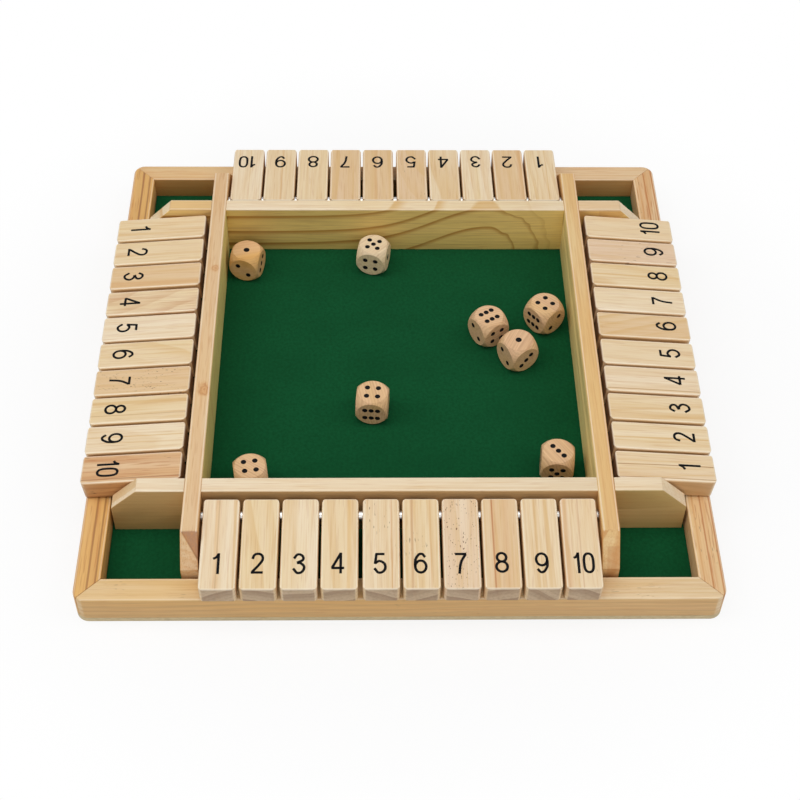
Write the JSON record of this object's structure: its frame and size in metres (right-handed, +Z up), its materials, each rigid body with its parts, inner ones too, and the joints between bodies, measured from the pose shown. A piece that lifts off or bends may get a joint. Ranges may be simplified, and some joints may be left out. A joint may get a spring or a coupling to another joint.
{
  "type": "shut the box game",
  "caption": "Square wooden board for a number game with dice: a felt-lined tray in the middle, and a row of numbered tiles hinged on a rod along each side.",
  "frame": {"origin": "middle of the underside of the board", "axes": "+Z up, -Y towards player one, whose tiles run from 1 at -X to 10 at +X; +X to that player's right"},
  "size_m": [0.3006, 0.3006, 0.0345],
  "materials": {
    "rail_pine": "oiled pine, satin",
    "wall_pine": "planed pine, satin",
    "tile_pine": "sanded pine, satin",
    "dice_wood": "tumbled hardwood, matte",
    "base_board": "plain fibreboard, matte",
    "green_felt": "short-napped felt",
    "rod_steel": "drawn bright",
    "black_ink": "printed ink and pip paint, matte"
  },
  "bodies": {
    "board": {"base_panel": "base_board", "felt_sheet": "green_felt", "hinge_rods": "rod_steel", "rail_front": "rail_pine", "rail_right": "rail_pine", "rail_rear": "rail_pine", "rail_left": "rail_pine", "wall_front": "wall_pine", "wall_right": "wall_pine", "wall_rear": "wall_pine", "wall_left": "wall_pine"},
    "tile_front_1": {"tile_front_1": "tile_pine"},
    "tile_front_2": {"tile_front_2": "tile_pine"},
    "tile_front_3": {"tile_front_3": "tile_pine"},
    "tile_front_4": {"tile_front_4": "tile_pine"},
    "tile_front_5": {"tile_front_5": "tile_pine"},
    "tile_front_6": {"tile_front_6": "tile_pine"},
    "tile_front_7": {"tile_front_7": "tile_pine"},
    "tile_front_8": {"tile_front_8": "tile_pine"},
    "tile_front_9": {"tile_front_9": "tile_pine"},
    "tile_front_10": {"tile_front_10": "tile_pine"},
    "tile_right_1": {"tile_right_1": "tile_pine"},
    "tile_right_2": {"tile_right_2": "tile_pine"},
    "tile_right_3": {"tile_right_3": "tile_pine"},
    "tile_right_4": {"tile_right_4": "tile_pine"},
    "tile_right_5": {"tile_right_5": "tile_pine"},
    "tile_right_6": {"tile_right_6": "tile_pine"},
    "tile_right_7": {"tile_right_7": "tile_pine"},
    "tile_right_8": {"tile_right_8": "tile_pine"},
    "tile_right_9": {"tile_right_9": "tile_pine"},
    "tile_right_10": {"tile_right_10": "tile_pine"},
    "tile_rear_1": {"tile_rear_1": "tile_pine"},
    "tile_rear_2": {"tile_rear_2": "tile_pine"},
    "tile_rear_3": {"tile_rear_3": "tile_pine"},
    "tile_rear_4": {"tile_rear_4": "tile_pine"},
    "tile_rear_5": {"tile_rear_5": "tile_pine"},
    "tile_rear_6": {"tile_rear_6": "tile_pine"},
    "tile_rear_7": {"tile_rear_7": "tile_pine"},
    "tile_rear_8": {"tile_rear_8": "tile_pine"},
    "tile_rear_9": {"tile_rear_9": "tile_pine"},
    "tile_rear_10": {"tile_rear_10": "tile_pine"},
    "tile_left_1": {"tile_left_1": "tile_pine"},
    "tile_left_2": {"tile_left_2": "tile_pine"},
    "tile_left_3": {"tile_left_3": "tile_pine"},
    "tile_left_4": {"tile_left_4": "tile_pine"},
    "tile_left_5": {"tile_left_5": "tile_pine"},
    "tile_left_6": {"tile_left_6": "tile_pine"},
    "tile_left_7": {"tile_left_7": "tile_pine"},
    "tile_left_8": {"tile_left_8": "tile_pine"},
    "tile_left_9": {"tile_left_9": "tile_pine"},
    "tile_left_10": {"tile_left_10": "tile_pine"},
    "die_1": {"die_1": "dice_wood"},
    "die_2": {"die_2": "dice_wood"},
    "die_3": {"die_3": "dice_wood"},
    "die_4": {"die_4": "dice_wood"},
    "die_5": {"die_5": "dice_wood"},
    "die_6": {"die_6": "dice_wood"},
    "die_7": {"die_7": "dice_wood"},
    "die_8": {"die_8": "dice_wood"}
  },
  "joints": [
    {"name": "tile_front_1_flip", "type": "hinge", "parent": "board", "child": "tile_front_1", "pos_m": [0, -0.10827, 0.02612], "axis": [-1, 0, 0], "range_deg": [0, 110]},
    {"name": "tile_front_2_flip", "type": "hinge", "parent": "board", "child": "tile_front_2", "pos_m": [0, -0.10827, 0.02612], "axis": [-1, 0, 0], "range_deg": [0, 110]},
    {"name": "tile_front_3_flip", "type": "hinge", "parent": "board", "child": "tile_front_3", "pos_m": [0, -0.10827, 0.02612], "axis": [-1, 0, 0], "range_deg": [0, 110]},
    {"name": "tile_front_4_flip", "type": "hinge", "parent": "board", "child": "tile_front_4", "pos_m": [0, -0.10827, 0.02612], "axis": [-1, 0, 0], "range_deg": [0, 110]},
    {"name": "tile_front_5_flip", "type": "hinge", "parent": "board", "child": "tile_front_5", "pos_m": [0, -0.10827, 0.02612], "axis": [-1, 0, 0], "range_deg": [0, 110]},
    {"name": "tile_front_6_flip", "type": "hinge", "parent": "board", "child": "tile_front_6", "pos_m": [0, -0.10827, 0.02612], "axis": [-1, 0, 0], "range_deg": [0, 110]},
    {"name": "tile_front_7_flip", "type": "hinge", "parent": "board", "child": "tile_front_7", "pos_m": [0, -0.10827, 0.02612], "axis": [-1, 0, 0], "range_deg": [0, 110]},
    {"name": "tile_front_8_flip", "type": "hinge", "parent": "board", "child": "tile_front_8", "pos_m": [0, -0.10827, 0.02612], "axis": [-1, 0, 0], "range_deg": [0, 110]},
    {"name": "tile_front_9_flip", "type": "hinge", "parent": "board", "child": "tile_front_9", "pos_m": [0, -0.10827, 0.02612], "axis": [-1, 0, 0], "range_deg": [0, 110]},
    {"name": "tile_front_10_flip", "type": "hinge", "parent": "board", "child": "tile_front_10", "pos_m": [0, -0.10827, 0.02612], "axis": [-1, 0, 0], "range_deg": [0, 110]},
    {"name": "tile_right_1_flip", "type": "hinge", "parent": "board", "child": "tile_right_1", "pos_m": [0.10827, 0, 0.02612], "axis": [0, -1, 0], "range_deg": [0, 110]},
    {"name": "tile_right_2_flip", "type": "hinge", "parent": "board", "child": "tile_right_2", "pos_m": [0.10827, 0, 0.02612], "axis": [0, -1, 0], "range_deg": [0, 110]},
    {"name": "tile_right_3_flip", "type": "hinge", "parent": "board", "child": "tile_right_3", "pos_m": [0.10827, 0, 0.02612], "axis": [0, -1, 0], "range_deg": [0, 110]},
    {"name": "tile_right_4_flip", "type": "hinge", "parent": "board", "child": "tile_right_4", "pos_m": [0.10827, 0, 0.02612], "axis": [0, -1, 0], "range_deg": [0, 110]},
    {"name": "tile_right_5_flip", "type": "hinge", "parent": "board", "child": "tile_right_5", "pos_m": [0.10827, 0, 0.02612], "axis": [0, -1, 0], "range_deg": [0, 110]},
    {"name": "tile_right_6_flip", "type": "hinge", "parent": "board", "child": "tile_right_6", "pos_m": [0.10827, 0, 0.02612], "axis": [0, -1, 0], "range_deg": [0, 110]},
    {"name": "tile_right_7_flip", "type": "hinge", "parent": "board", "child": "tile_right_7", "pos_m": [0.10827, 0, 0.02612], "axis": [0, -1, 0], "range_deg": [0, 110]},
    {"name": "tile_right_8_flip", "type": "hinge", "parent": "board", "child": "tile_right_8", "pos_m": [0.10827, 0, 0.02612], "axis": [0, -1, 0], "range_deg": [0, 110]},
    {"name": "tile_right_9_flip", "type": "hinge", "parent": "board", "child": "tile_right_9", "pos_m": [0.10827, 0, 0.02612], "axis": [0, -1, 0], "range_deg": [0, 110]},
    {"name": "tile_right_10_flip", "type": "hinge", "parent": "board", "child": "tile_right_10", "pos_m": [0.10827, 0, 0.02612], "axis": [0, -1, 0], "range_deg": [0, 110]},
    {"name": "tile_rear_1_flip", "type": "hinge", "parent": "board", "child": "tile_rear_1", "pos_m": [0, 0.10827, 0.02612], "axis": [1, 0, 0], "range_deg": [0, 110]},
    {"name": "tile_rear_2_flip", "type": "hinge", "parent": "board", "child": "tile_rear_2", "pos_m": [0, 0.10827, 0.02612], "axis": [1, 0, 0], "range_deg": [0, 110]},
    {"name": "tile_rear_3_flip", "type": "hinge", "parent": "board", "child": "tile_rear_3", "pos_m": [0, 0.10827, 0.02612], "axis": [1, 0, 0], "range_deg": [0, 110]},
    {"name": "tile_rear_4_flip", "type": "hinge", "parent": "board", "child": "tile_rear_4", "pos_m": [0, 0.10827, 0.02612], "axis": [1, 0, 0], "range_deg": [0, 110]},
    {"name": "tile_rear_5_flip", "type": "hinge", "parent": "board", "child": "tile_rear_5", "pos_m": [0, 0.10827, 0.02612], "axis": [1, 0, 0], "range_deg": [0, 110]},
    {"name": "tile_rear_6_flip", "type": "hinge", "parent": "board", "child": "tile_rear_6", "pos_m": [0, 0.10827, 0.02612], "axis": [1, 0, 0], "range_deg": [0, 110]},
    {"name": "tile_rear_7_flip", "type": "hinge", "parent": "board", "child": "tile_rear_7", "pos_m": [0, 0.10827, 0.02612], "axis": [1, 0, 0], "range_deg": [0, 110]},
    {"name": "tile_rear_8_flip", "type": "hinge", "parent": "board", "child": "tile_rear_8", "pos_m": [0, 0.10827, 0.02612], "axis": [1, 0, 0], "range_deg": [0, 110]},
    {"name": "tile_rear_9_flip", "type": "hinge", "parent": "board", "child": "tile_rear_9", "pos_m": [0, 0.10827, 0.02612], "axis": [1, 0, 0], "range_deg": [0, 110]},
    {"name": "tile_rear_10_flip", "type": "hinge", "parent": "board", "child": "tile_rear_10", "pos_m": [0, 0.10827, 0.02612], "axis": [1, 0, 0], "range_deg": [0, 110]},
    {"name": "tile_left_1_flip", "type": "hinge", "parent": "board", "child": "tile_left_1", "pos_m": [-0.10827, 0, 0.02612], "axis": [0, 1, 0], "range_deg": [0, 110]},
    {"name": "tile_left_2_flip", "type": "hinge", "parent": "board", "child": "tile_left_2", "pos_m": [-0.10827, 0, 0.02612], "axis": [0, 1, 0], "range_deg": [0, 110]},
    {"name": "tile_left_3_flip", "type": "hinge", "parent": "board", "child": "tile_left_3", "pos_m": [-0.10827, 0, 0.02612], "axis": [0, 1, 0], "range_deg": [0, 110]},
    {"name": "tile_left_4_flip", "type": "hinge", "parent": "board", "child": "tile_left_4", "pos_m": [-0.10827, 0, 0.02612], "axis": [0, 1, 0], "range_deg": [0, 110]},
    {"name": "tile_left_5_flip", "type": "hinge", "parent": "board", "child": "tile_left_5", "pos_m": [-0.10827, 0, 0.02612], "axis": [0, 1, 0], "range_deg": [0, 110]},
    {"name": "tile_left_6_flip", "type": "hinge", "parent": "board", "child": "tile_left_6", "pos_m": [-0.10827, 0, 0.02612], "axis": [0, 1, 0], "range_deg": [0, 110]},
    {"name": "tile_left_7_flip", "type": "hinge", "parent": "board", "child": "tile_left_7", "pos_m": [-0.10827, 0, 0.02612], "axis": [0, 1, 0], "range_deg": [0, 110]},
    {"name": "tile_left_8_flip", "type": "hinge", "parent": "board", "child": "tile_left_8", "pos_m": [-0.10827, 0, 0.02612], "axis": [0, 1, 0], "range_deg": [0, 110]},
    {"name": "tile_left_9_flip", "type": "hinge", "parent": "board", "child": "tile_left_9", "pos_m": [-0.10827, 0, 0.02612], "axis": [0, 1, 0], "range_deg": [0, 110]},
    {"name": "tile_left_10_flip", "type": "hinge", "parent": "board", "child": "tile_left_10", "pos_m": [-0.10827, 0, 0.02612], "axis": [0, 1, 0], "range_deg": [0, 110]},
    {"name": "die_1_lift", "type": "slide", "parent": "board", "child": "die_1", "axis": [0, 0, 1], "range_m": [0, 0.05]},
    {"name": "die_2_lift", "type": "slide", "parent": "board", "child": "die_2", "axis": [0, 0, 1], "range_m": [0, 0.05]},
    {"name": "die_3_lift", "type": "slide", "parent": "board", "child": "die_3", "axis": [0, 0, 1], "range_m": [0, 0.05]},
    {"name": "die_4_lift", "type": "slide", "parent": "board", "child": "die_4", "axis": [0, 0, 1], "range_m": [0, 0.05]},
    {"name": "die_5_lift", "type": "slide", "parent": "board", "child": "die_5", "axis": [0, 0, 1], "range_m": [0, 0.05]},
    {"name": "die_6_lift", "type": "slide", "parent": "board", "child": "die_6", "axis": [0, 0, 1], "range_m": [0, 0.05]},
    {"name": "die_7_lift", "type": "slide", "parent": "board", "child": "die_7", "axis": [0, 0, 1], "range_m": [0, 0.05]},
    {"name": "die_8_lift", "type": "slide", "parent": "board", "child": "die_8", "axis": [0, 0, 1], "range_m": [0, 0.05]}
  ]
}
